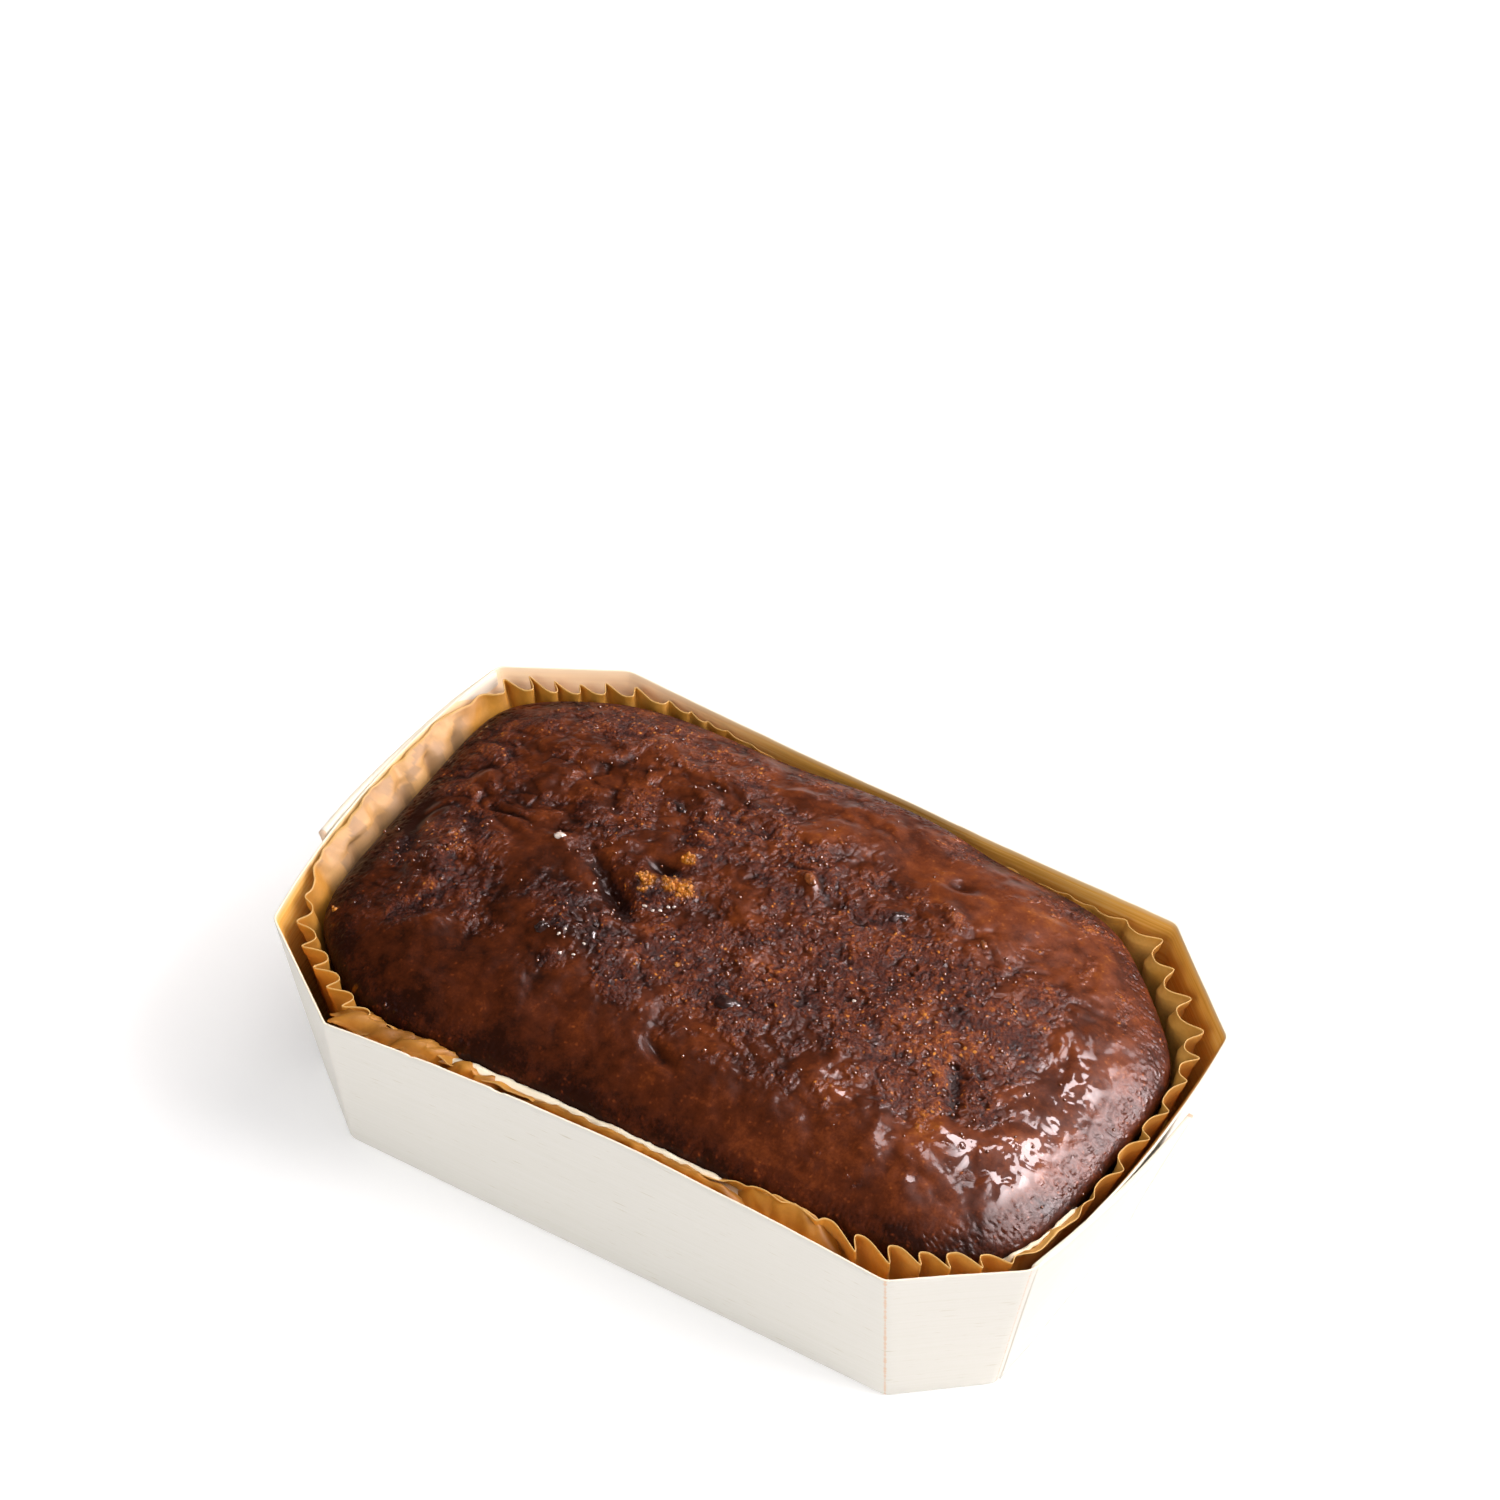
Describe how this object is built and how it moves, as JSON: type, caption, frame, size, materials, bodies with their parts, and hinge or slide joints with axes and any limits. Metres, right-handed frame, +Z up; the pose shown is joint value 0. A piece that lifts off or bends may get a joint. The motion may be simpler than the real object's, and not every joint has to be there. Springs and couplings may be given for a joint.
{
  "type": "sticky toffee pudding",
  "caption": "Domed, sauce-glazed sponge pudding loaf in a pleated paper liner and a folded, eight-sided wooden baking tray.",
  "frame": {"origin": "on the surface the tray stands on, under the middle of its outline", "axes": "+X along the loaf, +Y towards its back long side, +Z up"},
  "size_m": [0.186, 0.1142, 0.0523],
  "materials": {
    "veneer": "bare poplar veneer, pale outside and honey-coloured inside",
    "paper": "pleated greaseproof baking paper, satin",
    "sponge": "dark date sponge under a glossy toffee sauce"
  },
  "bodies": {
    "root": {"tray": "veneer", "liner": "paper", "pudding": "sponge"}
  },
  "joints": []
}
